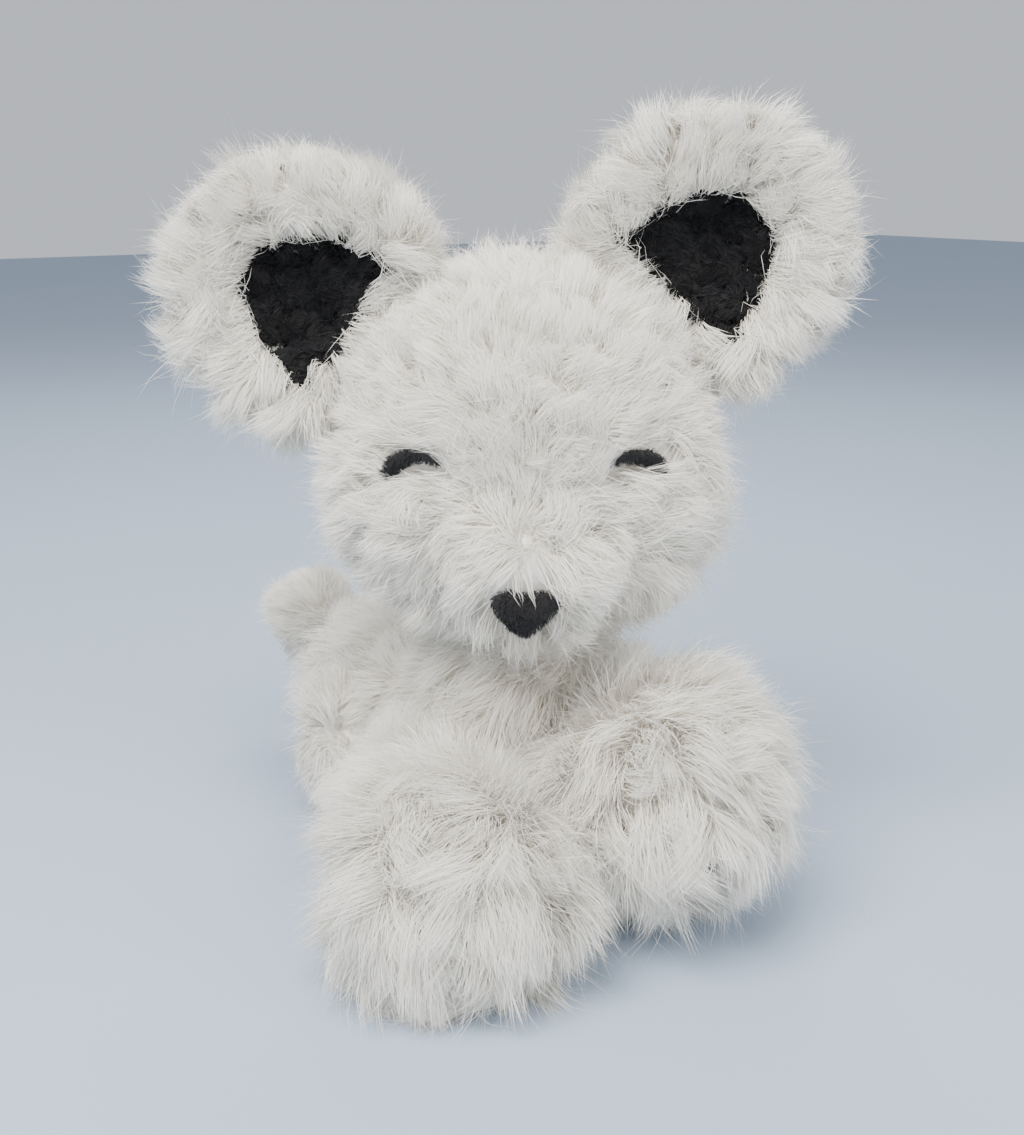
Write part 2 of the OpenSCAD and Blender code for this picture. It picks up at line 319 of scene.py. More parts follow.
PLASTIC = PlasticFinish("joint plastic", (0.7, 0.7, 0.68))


class Wardrobe:
    """Every finish, made once, and how far the pile may reach."""

    def __init__(self) -> None:
        """Makes the materials and measures the room that the pile may take."""
        low, high = (np.array(corner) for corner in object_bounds())
        spare = SPARE_SHARE * (high - low) + SPARE_MARGIN
        self.room = (low - spare, high + spare)
        self.room[0][2] = FLOOR_GAP
        self.white_pile = WHITE_PILE.make()
        self.black_pile = BLACK_PILE.make()
        self.backing = BACKING.make()
        self.felt = BLACK_FELT.make()
        self.filling = FILLING.make()
        self.thread = THREAD.make()
        self.plastic = PLASTIC.make()


# ---- Mesh work ----


def only(piece: Any) -> Any:
    """Makes a piece the one selected and active object.

    Args:
        piece: the object.

    Returns:
        The same object.
    """
    bpy.ops.object.select_all(action="DESELECT")
    piece.select_set(True)
    bpy.context.view_layer.objects.active = piece
    return piece


def apply(piece: Any, kind: str, **settings: Any) -> None:
    """Adds a modifier and applies it.

    Args:
        piece: the object.
        kind: the modifier's type.
        **settings: the modifier's settings.
    """
    only(piece)
    modifier = piece.modifiers.new(kind.title(), kind)
    for key, value in settings.items():
        setattr(modifier, key, value)
    bpy.ops.object.modifier_apply(modifier=modifier.name)


def copy_nodes(frame: dict, name: str, nodes: Sequence[str]) -> Any:
    """Copies CAD nodes into one new object.

    Args:
        frame: the loaded frame.
        name: the new object's name.
        nodes: the nodes to copy.

    Returns:
        The new object.
    """
    bpy.ops.object.select_all(action="DESELECT")
    for node in nodes:
        source = frame["nodes"][node]
        twin = bpy.data.objects.new(name, source.data.copy())
        bpy.context.scene.collection.objects.link(twin)
        twin.select_set(True)
        bpy.context.view_layer.objects.active = twin
    if len(nodes) > 1:
        bpy.ops.object.join()
    piece = bpy.context.view_layer.objects.active
    piece.name = name
    piece.data.materials.clear()
    bpy.ops.object.mode_set(mode="EDIT")
    bpy.ops.mesh.select_all(action="SELECT")
    bpy.ops.mesh.remove_doubles(threshold=0.01 * MM)
    bpy.ops.object.mode_set(mode="OBJECT")
    return piece


def points_of(piece: Any) -> Array:
    """All of a mesh's points.

    Args:
        piece: the object.

    Returns:
        An array of points, one row each.
    """
    flat = np.empty(len(piece.data.vertices) * 3, np.float32)
    piece.data.vertices.foreach_get("co", flat)
    return flat.reshape(-1, 3).astype(float)


def put_points(piece: Any, points: Array) -> None:
    """Moves a mesh's points.

    Args:
        piece: the object.
        points: the new points.
    """
    piece.data.vertices.foreach_set("co", points.astype(np.float32).ravel())
    piece.data.update()


@dataclass(frozen=True)
class Padding:
    """How a stuffing's shape becomes a plump cover."""

    voxel: float = 4 * MM
    pressure: float = 4.0
    swell: float = 2.0 * MM
    cap: float = 3.0 * MM
    frames: int = 20
    smooth: int = 4


def plump(piece: Any, padding: Padding) -> Any:
    """Remeshes a shape evenly, blows it up as cloth, and subdivides it.

    Args:
        piece: the object to shape.
        padding: how.

    Returns:
        The same object.
    """
    apply(piece, "REMESH", mode="VOXEL", voxel_size=padding.voxel)
    apply(piece, "SMOOTH", factor=0.5, iterations=padding.smooth)
    start = points_of(piece)
    cloth = piece.modifiers.new("Cloth", "CLOTH")
    cloth.settings.use_pressure = True
    cloth.settings.uniform_pressure_force = padding.pressure
    cloth.settings.effector_weights.gravity = 0.0
    cloth.settings.quality = 4
    cloth.settings.tension_stiffness = 12
    cloth.settings.compression_stiffness = 12
    cloth.settings.bending_stiffness = 0.3
    cloth.collision_settings.use_collision = False
    cloth.point_cache.frame_start = 1
    cloth.point_cache.frame_end = padding.frames
    scene = bpy.context.scene
    for frame in range(1, padding.frames + 1):
        scene.frame_set(frame)
    only(piece)
    bpy.ops.object.modifier_apply(modifier=cloth.name)
    scene.frame_set(1)
    moved = points_of(piece) - start
    moved = moved + padding.swell * 0.5 * normals_of(piece)
    reach = np.linalg.norm(moved, axis=1, keepdims=True)
    grown = start + moved * np.minimum(1.0, padding.cap / np.maximum(reach, 1e-9))
    grown[:, 2] = np.maximum(grown[:, 2], 0.5 * MM)
    put_points(piece, grown)
    apply(piece, "SUBSURF", levels=1, render_levels=1)
    only(piece)
    bpy.ops.object.shade_smooth()
    return piece


def normals_of(piece: Any) -> Array:
    """A mesh's point normals.

    Args:
        piece: the object.

    Returns:
        An array of unit normals, one row each.
    """
    flat = np.empty(len(piece.data.vertices) * 3, np.float32)
    piece.data.vertex_normals.foreach_get("vector", flat)
    return flat.reshape(-1, 3).astype(float)


def unit(rows: Array) -> Array:
    """Scales each row to length 1.

    Args:
        rows: an array of vectors.

    Returns:
        The unit vectors.
    """
    return rows / np.maximum(np.linalg.norm(rows, axis=-1, keepdims=True), 1e-9)


# ---- Pile ----


@dataclass(frozen=True)
class Comb:
    """Which way a pile is brushed: away from each whorl, and along a sweep."""

    whorls: tuple[tuple[tuple[float, float, float], float], ...] = ()
    sweep: tuple[float, float, float] = (0.0, 0.0, 0.0)

    def at(self, points: Array) -> Array:
        """The way the pile is brushed at some points.

        Args:
            points: an array of points.

        Returns:
            An array of directions, not yet laid along the surface.
        """
        way = np.zeros_like(points) + np.array(self.sweep)
        for centre, strength in self.whorls:
            way += strength * unit(points - np.array(centre))
        return way


@dataclass(frozen=True)
class Coat:
    """The fibres of a pile and how they gather."""

    length: float
    fibres: int
    lift: float = 0.45
    tuft: float = 5.0 * MM
    gather: float = 0.62
    stray: float = 0.12
    width: float = 0.24 * MM
    lean: float = 0.45
    curl: float = 0.14
    droop: float = 0.06
    spread: float = 0.3
    tint_low: float = 0.93


RIBBON_STEPS = (0.0, 0.36, 0.72, 1.0)
RIBBON_WIDTHS = (1.0, 0.95, 0.62)
RIBBON_FACES = ((0, 1, 3, 2), (2, 3, 5, 4), (4, 5, 6))
RIBBON_POINTS = 7
TUFT_RISE = 0.16
FIBRE_RISE = 0.14
STRAY_RISE = 0.25
STRAY_TURN = 1.1
STRAY_LENGTH = 1.12
STRAY_WIDTH = 0.6
TUFT_LENGTH = 0.13
FIBRE_LENGTH = 0.12
RIBBON_TWIST = 0.55
GATHERING = (0.0, 0.14, 0.55, 0.95)
ROOT_DEPTH = 0.6 * MM

Region = Callable[[Array, Array], Array]
Room = tuple[Array, Array]
Clearing = Callable[[Array], Array]


class Pile:
    """Grows fibres on a cover and makes pieces of them."""

    def __init__(self, cover: Any, seed: int, room: Room) -> None:
        """Reads the cover's surface.

        Args:
            cover: the object that the fibres grow on.
            seed: the random seed.
            room: the lowest and the highest corner that fibres may reach.
        """
        mesh = cover.data
        mesh.calc_loop_triangles()
        corners = np.empty(len(mesh.loop_triangles) * 3, np.int32)
        mesh.loop_triangles.foreach_get("vertices", corners)
        self.corners = corners.reshape(-1, 3)
        self.points = points_of(cover)
        self.normals = normals_of(cover)
        self.dice = np.random.default_rng(seed)
        self.low, self.high = room

    def scatter(self, count: int, region: Region | None) -> tuple[Array, Array]:
        """Picks roots over the surface.

        Args:
            count: how many.
            region: gives how densely the pile grows, from a place and its normal.

        Returns:
            The roots and their normals.
        """
        a, b, c = (self.points[self.corners[:, i]] for i in range(3))
        na, nb, nc = (self.normals[self.corners[:, i]] for i in range(3))
        weight = np.linalg.norm(np.cross(b - a, c - a), axis=1)
        if region is not None:
            weight = weight * region((a + b + c) / 3, unit(na + nb + nc))
        ladder = np.cumsum(weight)
        pick = np.searchsorted(ladder, self.dice.random(count) * ladder[-1])
        pick = np.minimum(pick, len(weight) - 1)
        u, v = self.dice.random(count), self.dice.random(count)
        fold = u + v > 1
        u[fold], v[fold] = 1 - u[fold], 1 - v[fold]
        w = (1 - u - v)[:, None]
        u, v = u[:, None], v[:, None]
        roots = w * a[pick] + u * b[pick] + v * c[pick]
        return roots, unit(w * na[pick] + u * nb[pick] + v * nc[pick])

    def grow(
        self,
        name: str,
        coat: Coat,
        comb: Comb,
        material: Any,
        region: Region | None = None,
        clear: Clearing | None = None,
    ) -> Any:
        """Grows one piece of pile.

        Args:
            name: the piece's name.
            coat: its fibres.
            comb: which way it is brushed.
            material: its material.
            region: where it grows.
            clear: says, from fibres' paths, which fibres are cut away.

        Returns:
            The new object.
        """
        dice, count = self.dice, coat.fibres
        roots, up = self.scatter(count, region)
        guides = dice.choice(count, max(8, self.tuft_count(coat, region)), replace=False)
        tuft = nearest(roots, roots[guides])
        way = comb.at(roots)
        way = unit(way - (way * up).sum(1, keepdims=True) * up)
        side = np.cross(up, way)
        turn = coat.lean * dice.normal(size=len(guides))[tuft] + coat.spread * dice.normal(size=count)
        stray = dice.random(count) < coat.stray
        turn = np.where(stray, dice.normal(size=count) * STRAY_TURN, turn)[:, None]
        way = way * np.cos(turn) + side * np.sin(turn)
        side = np.cross(up, way)
        tuft_rise = TUFT_RISE * dice.normal(size=len(guides))[tuft]
        rise = np.clip(coat.lift + tuft_rise + FIBRE_RISE * dice.normal(size=count), 0.12, 0.95)
        rise = np.where(stray, np.clip(rise + STRAY_RISE, 0, 0.97), rise)[:, None]
        length = coat.length * (1 + TUFT_LENGTH * dice.normal(size=len(guides))[tuft])
        length = length * (1 + FIBRE_LENGTH * dice.normal(size=count))
        length = length * np.where(stray, STRAY_LENGTH, 1.0)
        length = np.maximum(length, 0.3 * coat.length)[:, None]
        swing = (coat.curl * dice.normal(size=len(guides)))[tuft][:, None]
        paths = []
        for t in RIBBON_STEPS:
            height = rise * t + (1 - rise) * 0.55 * t * (1 - t) * 2
            run = np.sqrt(np.maximum(1 - rise**2, 0)) * t * (0.35 + 0.65 * t)
            sway = swing * math.sin(math.pi * 1.4 * t) * t**0.5
            drop = np.array([0.0, 0.0, -coat.droop]) * t * t
            paths.append(roots + length * (up * height + way * run + side * sway + drop))
        paths[0] = roots - up * ROOT_DEPTH
        keen = np.where(stray, 0.1, 0.4 + 0.6 * dice.random(count))[:, None] * coat.gather
        leaders = guides[tuft]
        paths = [
            path + keen * pull * (path[leaders] - path) for path, pull in zip(paths, GATHERING)
        ]
        paths = np.stack(paths, axis=1)
        paths = np.clip(paths, self.low, self.high)
        kept = np.ones(count, bool)
        if clear is not None:
            kept = ~clear(paths)
        thick = coat.width * np.where(stray, STRAY_WIDTH, 1.0)
        face = dice.normal(size=count) * RIBBON_TWIST
        tint = coat.tint_low + (1 - coat.tint_low) * dice.random(len(guides))[tuft]
        tint = tint * (1 - 0.06 * dice.random(count))
        return self.weave(
            name, paths[kept], up[kept], thick[kept], face[kept], tint[kept], material
        )

    def tuft_count(self, coat: Coat, region: Region | None) -> int:
        """How many tufts a piece of pile has.

        Args:
            coat: its fibres.
            region: where it grows.

        Returns:
            The number of tufts.
        """
        a, b, c = (self.points[self.corners[:, i]] for i in range(3))
        area = np.linalg.norm(np.cross(b - a, c - a), axis=1) / 2
        if region is not None:
            normal = unit(sum(self.normals[self.corners[:, i]] for i in range(3)))
            area = area * (region((a + b + c) / 3, normal) > 0)
        return min(int(area.sum() / coat.tuft**2), coat.fibres // 6)

    @staticmethod
    def weave(
        name: str, paths: Array, up: Array, thick: Array, face: Array, tint: Array, material: Any
    ) -> Any:
        """Turns fibres' paths into a mesh of thin tapered ribbons.

        Args:
            name: the piece's name.
            paths: four points along each fibre.
            up: the surface's normal at each root.
            thick: each fibre's width at its root.
            face: how far each ribbon is turned about its own line.
            tint: each fibre's brightness.
            material: the piece's material.

        Returns:
            The new object.
        """
        count = len(paths)
        along = unit(paths[:, 3] - paths[:, 0])
        flat = unit(np.cross(along, up) + 1e-6)
        edge = np.cross(along, flat)
        across = flat * np.cos(face)[:, None] + edge * np.sin(face)[:, None]
        points = np.empty((count, RIBBON_POINTS, 3))
        for i, share in enumerate(RIBBON_WIDTHS):
            half = across * (thick * share / 2)[:, None]
            points[:, 2 * i] = paths[:, i] - half
            points[:, 2 * i + 1] = paths[:, i] + half
        points[:, -1] = paths[:, 3]
        corners = np.array([i for f in RIBBON_FACES for i in f])
        offsets = (np.arange(count) * RIBBON_POINTS)[:, None]
        sizes = np.array([len(f) for f in RIBBON_FACES])
        mesh = bpy.data.meshes.new(name)
        mesh.vertices.add(count * RIBBON_POINTS)
        mesh.vertices.foreach_set("co", points.astype(np.float32).ravel())
        mesh.loops.add(count * len(corners))
        mesh.loops.foreach_set("vertex_index", (corners[None] + offsets).astype(np.int32).ravel())
        mesh.polygons.add(count * len(sizes))
        starts = np.concatenate([[0], np.cumsum(sizes)[:-1]])
        starts = starts[None] + (np.arange(count) * len(corners))[:, None]
        mesh.polygons.foreach_set("loop_start", starts.astype(np.int32).ravel())
        mesh.update(calc_edges=True)
        mesh.polygons.foreach_set("use_smooth", np.ones(count * len(sizes), bool))
        steps = [t for t in RIBBON_STEPS[:3] for _ in (0, 1)] + [RIBBON_STEPS[3]]
        root_to_tip = mesh.attributes.new("along", "FLOAT", "POINT")
        root_to_tip.data.foreach_set("value", np.tile(np.array(steps, np.float32), count))
        shade = mesh.attributes.new("tint", "FLOAT", "POINT")
        shade.data.foreach_set("value", np.repeat(tint, RIBBON_POINTS).astype(np.float32))
        mesh.materials.append(material)
        piece = bpy.data.objects.new(name, mesh)
        bpy.context.scene.collection.objects.link(piece)
        return piece


def nearest(points: Array, centres: Array, batch: int = 4000) -> Array:
    """For each point, the index of the nearest centre.

    Args:
        points: the points.
        centres: the centres.
        batch: how many points to compare at once.

    Returns:
        An array of indexes.
    """
    found = np.empty(len(points), int)
    square = (centres**2).sum(1)
    for i in range(0, len(points), batch):
        part = points[i : i + batch]
        found[i : i + batch] = np.argmin(square - 2 * part @ centres.T, axis=1)
    return found


# ---- Sub-assemblies ----


def settle(piece: Any, body: str, material: Any | None = None) -> Any:
    """Gives a piece its body and its material, and reports it.

    Args:
        piece: the object.
        body: the CAD body that it moves with.
        material: the material, if it isn't on the mesh yet.

    Returns:
        The same object.
    """
    if material is not None:
        piece.data.materials.clear()
        piece.data.materials.append(material)
    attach(piece, body)
    LOG.info("%s on %s: %d faces", piece.name, body, len(piece.data.polygons))
    return piece


@dataclass
class Body:
    """The trunk: a padded cover with long pile, parted by its seams."""

    frame: dict
    wardrobe: Wardrobe
    padding: Padding = field(default_factory=lambda: Padding(voxel=4 * MM))
    coat: Coat = field(
        default_factory=lambda: Coat(14.5 * MM, 22000, lift=0.5, tuft=6.5 * MM, droop=0.12)
    )
    belly: Coat = field(
        default_factory=lambda: Coat(9 * MM, 6000, lift=0.3, tuft=7 * MM, droop=0.3)
    )
    seam_height: float = 9 * MM

    def build(self) -> None:
        """Makes the cover and its pile."""
        nodes = ["body_panel_left", "body_panel_right", "belly_panel", "body_stuffing"]
        cover = plump(copy_nodes(self.frame, "body_cover", ["body_stuffing"]), self.padding)
        settle(cover, "body", self.wardrobe.backing)
        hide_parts(*nodes)
        pile = Pile(cover, 11, self.wardrobe.room)
        low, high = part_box("body_stuffing")
        chest = (0.0, low.y + 14 * MM, high.z - 12 * MM)
        comb = Comb(whorls=((chest, 1.0),), sweep=(0.0, 0.35, -0.35))
        for name, side in (("body_pile_left", 1), ("body_pile_right", -1)):
            settle(
                pile.grow(
                    name,
                    self.coat,
                    comb,
                    self.wardrobe.white_pile,
                    region=lambda p, n, side=side: (side * p[:, 0] > 0)
                    & (p[:, 2] > self.seam_height),
                ),
                "body",
            )
        settle(
            pile.grow(
                "belly_pile",
                self.belly,
                comb,
                self.wardrobe.white_pile,
                region=lambda p, n: (p[:, 2] <= self.seam_height),
            ),
            "body",
        )


@dataclass
class Head:
    """The head: a padded cover, pile brushed away from the bridge of the nose, and the face."""

    frame: dict
    wardrobe: Wardrobe
    look: float = math.radians(-33)
    skull_radius: float = 46 * MM
    seam_out: float = 15 * MM
    chin_height: float = -26 * MM
    nose_size: tuple[float, float, float] = (10.2 * MM, 3.2 * MM, 5.2 * MM)
    nose_height: float = -30.5 * MM
    eye_out: float = 27 * MM
    eye_height: float = 1.0 * MM
    eye_size: tuple[float, float, float] = (9.0 * MM, 2.0 * MM, 2.6 * MM)
    eye_bend: float = math.radians(95)
    eye_arch: float = 2.0 * MM
    eye_tilt: float = math.radians(14)
    eye_slope: float = math.radians(28)
    eye_out_of_cover: float = 5.6 * MM
    nose_out_of_cover: float = 6.5 * MM
    padding: Padding = field(default_factory=lambda: Padding(voxel=4 * MM))
    coat: Coat = field(
        default_factory=lambda: Coat(11.5 * MM, 32000, lift=0.5, tuft=4.5 * MM)
    )
    chin_coat: Coat = field(
        default_factory=lambda: Coat(11.5 * MM, 18000, lift=0.5, tuft=4.5 * MM)
    )

    def __post_init__(self) -> None:
        """Finds the head's centre and its own axes."""
        pivot = Vector(
            next(j for j in self.frame["joints"] if j["child"] == "head")["pos_m"]
        )
        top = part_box("head_gusset")[1].z
        self.centre = Vector((pivot.x, pivot.y, top - self.skull_radius))
        self.turn = Matrix.Rotation(self.look, 3, "Z")

    def place(self, x: float, y: float, z: float) -> tuple[float, float, float]:
        """A point of the head's own frame, in the dog's.

        Args:
            x: to the dog's left.
            y: towards the nape.
            z: up from the head's centre.

        Returns:
            The point.
        """
        return tuple(self.centre + self.turn @ Vector((x, y, z)))

    def local(self, points: Array) -> Array:
        """Points in the head's own frame.

        Args:
            points: the points in the dog's frame.

        Returns:
            The points from the head's centre, along its own axes.
        """
        return (points - np.array(self.centre)) @ np.array(self.turn)

    def clearing(self, paths: Array) -> Array:
        """Says which fibres would hide the eyes or the nose.

        Args:
            paths: the fibres' paths.

        Returns:
            True for each fibre that is cut away.
        """
        spots = self.local(paths.reshape(-1, 3)).reshape(paths.shape)
        hidden = np.zeros(len(paths), bool)
        for side in (-1, 1):
            x = (spots[..., 0] - side * self.eye_out) / (self.eye_size[0] * 0.86)
            arch = self.eye_height + self.eye_arch - 3.6 * MM * x**2
            inside = (np.abs(x) < 1) & (np.abs(spots[..., 2] - arch) < 2.0 * MM)
            hidden |= (inside & (spots[..., 1] < 0)).any(1)
        across = spots[..., 0] / self.nose_size[0]
        below = (self.nose_height + 5.0 * MM - spots[..., 2]) / (2 * self.nose_size[2])
        tuft = (np.abs(across - 0.1) < 0.2) & (below < 0.28)
        inside = (below > 0.06) & (below < 1) & (np.abs(across) < 1.16 - 0.85 * below) & ~tuft
        hidden |= (inside & (spots[..., 1] < 0)).any(1)
        return hidden

    def build(self) -> None:
        """Makes the cover, its pile and the face."""
        nodes = ["head_gusset", "head_side_left", "head_side_right", "chin_panel"]
        cover = plump(copy_nodes(self.frame, "head_cover", ["head_stuffing"]), self.padding)
        settle(cover, "head", self.wardrobe.backing)
        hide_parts(*nodes, "head_stuffing")
        self.cover = cover
        pile = Pile(cover, 23, self.wardrobe.room)
        bridge = self.place(0, -50 * MM, -15 * MM)
        down = tuple(self.turn @ Vector((0, 0.15, -0.25)))
        comb = Comb(whorls=((bridge, 1.0),), sweep=down)
        for name, region in self.regions():
            coat = self.chin_coat if name == "chin_pile" else self.coat
            settle(
                pile.grow(name, coat, comb, self.wardrobe.white_pile, region, self.clearing),
                "head",
            )
        self.build_nose()
        for side, name in ((1, "left_eye"), (-1, "right_eye")):
            self.build_eye(side, name)

    def regions(self) -> list[tuple[str, Region]]:
        """The head's panels.

        Returns:
            Each piece of pile's name with where it grows.
        """

        def thick(p: Array) -> Array:
            """How densely the pile grows: denser on the face."""
            return np.where(p[:, 1] < 0, 1.0, 0.7)

        def gusset(points: Array, up: Array) -> Array:
            """The strip from the nose to the nape."""
            p = self.local(points)
            chin = (p[:, 2] < self.chin_height) & (p[:, 1] < 0)
            return (np.abs(p[:, 0]) < self.seam_out) * ~chin * thick(p)

        def cheek(side: int) -> Region:
            """One side of the head."""

            def inside(points: Array, up: Array) -> Array:
                """Whether a place is on that side."""
                p = self.local(points)
                chin = (p[:, 2] < self.chin_height) & (p[:, 1] < 0)
                return (side * p[:, 0] >= self.seam_out) * ~chin * thick(p)

            return inside

        def chin(points: Array, up: Array) -> Array:
            """The panel under the face."""
            p = self.local(points)
            return (p[:, 2] < self.chin_height) & (p[:, 1] < 0)

        return [
            ("head_pile_gusset", gusset),
            ("head_pile_left", cheek(1)),
            ("head_pile_right", cheek(-1)),
            ("chin_pile", chin),
        ]

    def front_of(self, x: float, z: float) -> float:
        """How far forward the cover reaches at a place on the face.

        Args:
            x: to the dog's left.
            z: up from the head's centre.

        Returns:
            The lowest y of the cover near there, in the head's own frame.
        """
        p = self.local(points_of(self.cover))
        near = (np.hypot(p[:, 0] - x, p[:, 2] - z) < 5 * MM) & (p[:, 1] < 0)
        return float(p[near, 1].mean())

    def build_nose(self) -> None:
        """Makes the nose: a plump felt triangle with its point down."""
        bpy.ops.object.select_all(action="DESELECT")
        bpy.ops.mesh.primitive_uv_sphere_add(segments=40, ring_count=24, radius=1.0)
        nose = bpy.context.active_object
        nose.name = "nose_felt"
        p = points_of(nose)
        fall = np.clip((1 - p[:, 2]) / 2, 0, 1)
        p[:, 0] = np.sign(p[:, 0]) * np.abs(p[:, 0]) ** 0.8 * (1.0 - 0.78 * fall**1.1)
        notch = 0.22 * np.exp(-((p[:, 0] / 0.3) ** 2)) * (p[:, 2] > 0)
        p[:, 2] = p[:, 2] - notch
        p = p * np.array(self.nose_size)
        y = self.front_of(0, self.nose_height) - self.nose_out_of_cover
        p = (p + np.array([0, y, self.nose_height])) @ np.array(self.turn).T
        put_points(nose, p + np.array(self.centre))
        only(nose)
        bpy.ops.object.shade_smooth()
        settle(nose, "head", self.wardrobe.felt)
        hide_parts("nose")
        fuzz = Coat(1.6 * MM, 2600, lift=0.6, tuft=1.5 * MM, width=0.16 * MM, gather=0.4)
        settle(
            Pile(nose, 31, self.wardrobe.room).grow(
                "nose_fuzz", fuzz, Comb(sweep=(0, 0, -1)), self.wardrobe.black_pile
            ),
            "head",
        )

    def build_eye(self, side: int, node: str) -> None:
        """Makes one closed eye: a thin arch of felt, thicker towards the outside.

        Args:
            side: 1 for the dog's left, -1 for its right.
            node: the CAD node that it stands for.
        """
        bpy.ops.object.select_all(action="DESELECT")
        bpy.ops.mesh.primitive_uv_sphere_add(
            segments=24, ring_count=32, radius=1.0, rotation=(0, math.pi / 2, 0)
        )
        eye = bpy.context.active_object
        eye.name = node + "_felt"
        bpy.ops.object.transform_apply(location=True, rotation=True, scale=True)
        p = points_of(eye) * np.array(self.eye_size)
        p[:, 1:] *= 0.62 + 0.38 * side * p[:, :1] / self.eye_size[0]
        angle = p[:, 0] / self.eye_size[0] * self.eye_bend / 2
        radius = self.eye_size[0] / (self.eye_bend / 2)
        arch = np.stack(
            [
                (radius + p[:, 2]) * np.sin(angle),
                p[:, 1],
                (radius + p[:, 2]) * np.cos(angle) - radius + self.eye_arch,
            ],
            axis=1,
        )
        tilt = np.array(Matrix.Rotation(side * self.eye_tilt, 3, "Y"))
        arch = arch @ tilt.T
        x = side * self.eye_out
        y = self.front_of(x, self.eye_height)
        slope = np.array(Matrix.Rotation(side * self.eye_slope, 3, "Z"))
        arch = arch @ slope.T
        arch = arch + np.array([x, y - self.eye_out_of_cover, self.eye_height])
        put_points(eye, arch @ np.array(self.turn).T + np.array(self.centre))
        only(eye)
        bpy.ops.object.shade_smooth()
        settle(eye, "head", self.wardrobe.felt)
        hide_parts(node)
        fuzz = Coat(1.3 * MM, 1400, lift=0.6, tuft=1.2 * MM, width=0.14 * MM, gather=0.4)
        settle(
            Pile(eye, 41 + side, self.wardrobe.room).grow(
                node + "_fuzz", fuzz, Comb(sweep=(0, 0, -1)), self.wardrobe.black_pile
            ),
            "head",
        )


@dataclass
class Ear:
    """One large cupped ear with its black lining."""

    frame: dict
    wardrobe: Wardrobe
    body: str
    look: float = math.radians(-33)
    heart: float = 20 * MM
    padding: Padding = field(
        default_factory=lambda: Padding(voxel=2.5 * MM, swell=0.8 * MM, cap=1.5 * MM, smooth=6)
    )
    coat: Coat = field(
        default_factory=lambda: Coat(11.5 * MM, 15500, lift=0.42, tuft=4.5 * MM)
    )
    lining: Coat = field(
        default_factory=lambda: Coat(
            4.0 * MM, 16000, lift=0.6, tuft=3.0 * MM, gather=0.5, width=0.32 * MM, lean=1.5,
            tint_low=0.4,
        )
    )

    def __post_init__(self) -> None:
        """Finds the ear's fold line and its own axes."""
        joint = next(j for j in self.frame["joints"] if j["child"] == self.body)
        self.root = Vector(joint["pos_m"])
        out = Vector(joint["axis"]).normalized()
        back = Matrix.Rotation(self.look, 3, "Z") @ Vector((0, 1, 0))
        self.axes = np.array([out, back, out.cross(back).normalized()])

    def local(self, points: Array) -> Array:
        """Points in the ear's own frame.

        Args:
            points: the points in the dog's frame.

        Returns:
            The points from the fold line, along the ear's own axes.
        """
        return (points - np.array(self.root)) @ self.axes.T

    def place(self, x: float, y: float, z: float) -> tuple[float, float, float]:
        """A point of the ear's own frame, in the dog's.

        Args:
            x: along the fold line.
            y: backwards.
            z: up the ear.

        Returns:
            The point.
        """
        return tuple(np.array(self.root) + np.array([x, y, z]) @ self.axes)

    def in_lining(self, spots: Array, margin: float) -> Array:
        """Whether places lie in front of the lining.

        Args:
            spots: places in the ear's own frame.
            margin: how far past the lining's edge still counts.

        Returns:
            True for each place inside.
        """
        x, z = spots[..., 0], spots[..., 2]
        foot, tip = 4 * MM, 34 * MM
        rise = np.clip((z - foot) / (tip - foot), 0, 1)
        half = 19.5 * MM * np.sqrt(1 - rise**1.6)
        return (np.abs(x) < half + margin) & (z > foot - margin) & (z < tip + margin)

    def build(self) -> None:
        """Makes the cover, its pile and the lining."""
        names = [f"{self.body}_back", f"{self.body}_front", f"{self.body}_lining"]
        cover = plump(copy_nodes(self.frame, self.body + "_cover", names), self.padding)
        settle(cover, self.body, self.wardrobe.backing)
        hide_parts(*names[:2])
        back = -self.axes[1]
        pile = Pile(cover, 53 + len(self.body), self.wardrobe.room)
        heart = self.place(0, -2 * MM, self.heart)
        comb = Comb(whorls=((heart, 1.0),), sweep=tuple(0.25 * self.axes[2]))

        def front(points: Array, up: Array) -> Array:
            """The side that faces forward, around the lining."""
            lined = self.in_lining(self.local(points), -1.0 * MM)
            return (up @ back > 0) & ~lined

        def rear(points: Array, up: Array) -> Array:
            """The side that faces back."""
            return up @ back <= 0

        def clear(paths: Array) -> Array:
            """Fibres whose tips would lie over the lining."""
            spots = self.local(paths.reshape(-1, 3)).reshape(paths.shape)
            return self.in_lining(spots[:, 2:], -2.0 * MM).any(1) & (spots[:, 0, 1] < 2 * MM)

        for name, region, mask in (("front", front, clear), ("back", rear, None)):
            settle(
                pile.grow(
                    f"{self.body}_pile_{name}",
                    self.coat,
                    comb,
                    self.wardrobe.white_pile,
                    region,
                    mask,
                ),
                self.body,
            )
        self.build_lining(pile, back)

    def build_lining(self, pile: Pile, back: Array) -> None:
        """Makes the short black pile of the lining.

        Args:
            pile: the ear cover's pile.
            back: the way that the ear faces.
        """

        def lined(points: Array, up: Array) -> Array:
            """The front side inside the lining's outline."""
            return (up @ back > 0) & self.in_lining(self.local(points), 1.0 * MM)

        piece = pile.grow(
            self.body + "_lining_pile",
            self.lining,
            Comb(sweep=tuple(self.axes[2])),
            self.wardrobe.black_pile,
            lined,
        )
        settle(piece, self.body)
        patch = copy_nodes(self.frame, self.body + "_lining_cloth", [self.body + "_lining"])
        put_points(patch, points_of(patch) + 2.4 * MM * back)
        settle(patch, self.body, self.wardrobe.felt)
        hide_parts(self.body + "_lining")


